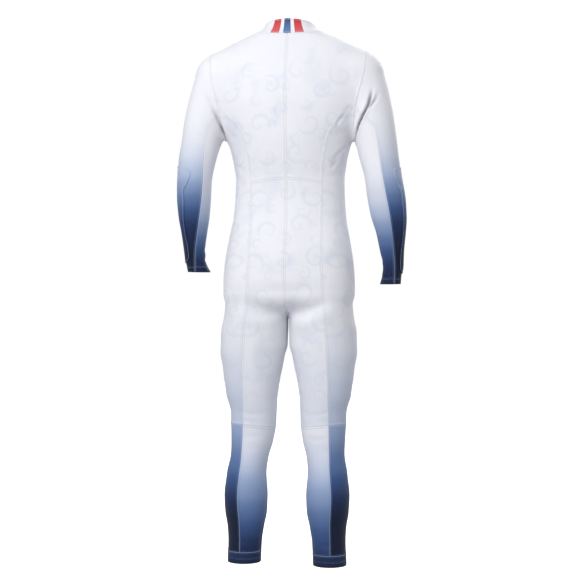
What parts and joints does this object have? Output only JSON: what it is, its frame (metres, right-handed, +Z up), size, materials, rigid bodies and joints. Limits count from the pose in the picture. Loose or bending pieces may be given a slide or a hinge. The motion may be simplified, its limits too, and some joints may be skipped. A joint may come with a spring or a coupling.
{
  "type": "ski race suit",
  "caption": "One-piece stretch race suit with stand collar, long sleeves, side panels and ankle bands, hollow and filled out as worn.",
  "frame": {"origin": "on the body's axis at the base of the neck, where the wearer's neck and shoulders carry the suit", "axes": "+Z up, -Y the front with the zip, +X the suit's own left side"},
  "size_m": [0.6218, 0.243, 1.4613],
  "materials": {
    "collar_knit": "smooth bonded stretch knit, white with a striped centre",
    "body_knit": "smooth bonded stretch knit, white with a faint pale print",
    "side_knit": "smooth bonded stretch knit, white fading to pale blue",
    "lower_leg_knit": "smooth bonded stretch knit, white fading to navy",
    "lower_side_knit": "smooth bonded stretch knit, blue fading to navy",
    "hem_band": "folded elastic band, navy",
    "outer_sleeve_knit": "smooth bonded stretch knit, white fading to navy",
    "inner_sleeve_knit": "smooth bonded stretch knit, white fading to navy",
    "guard_knit": "bonded second layer on the forearm, blue fading to navy",
    "zip_tape": "woven tape",
    "zip_coil": "nylon coil",
    "zip_metal": "satin grey die-cast metal"
  },
  "bodies": {
    "suit": {"collar": "collar_knit", "back_left": "body_knit", "back_right": "body_knit", "seat_left": "body_knit", "seat_right": "body_knit", "side_left": "side_knit", "side_right": "side_knit", "front_left": "body_knit", "front_right": "body_knit", "calf_back_left": "lower_leg_knit", "calf_back_right": "lower_leg_knit", "calf_side_left": "lower_side_knit", "calf_side_right": "lower_side_knit", "calf_front_left": "lower_leg_knit", "calf_front_right": "lower_leg_knit", "hem_left": "hem_band", "hem_right": "hem_band", "sleeve_outer_left": "outer_sleeve_knit", "sleeve_outer_right": "outer_sleeve_knit", "sleeve_inner_left": "inner_sleeve_knit", "sleeve_inner_right": "inner_sleeve_knit", "forearm_guard_left": "guard_knit", "forearm_guard_right": "guard_knit", "zip_tape_left": "zip_tape", "zip_tape_right": "zip_tape", "zip_coil": "zip_coil", "zip_slider": "zip_metal"},
    "pull_tab": {"zip_pull": "zip_metal"}
  },
  "joints": [
    {"name": "pull_tab_hinge", "type": "hinge", "parent": "suit", "child": "pull_tab", "pos_m": [0, -0.07401, -0.0205], "axis": [-1, 0, 0], "range_deg": [0, 150]}
  ]
}
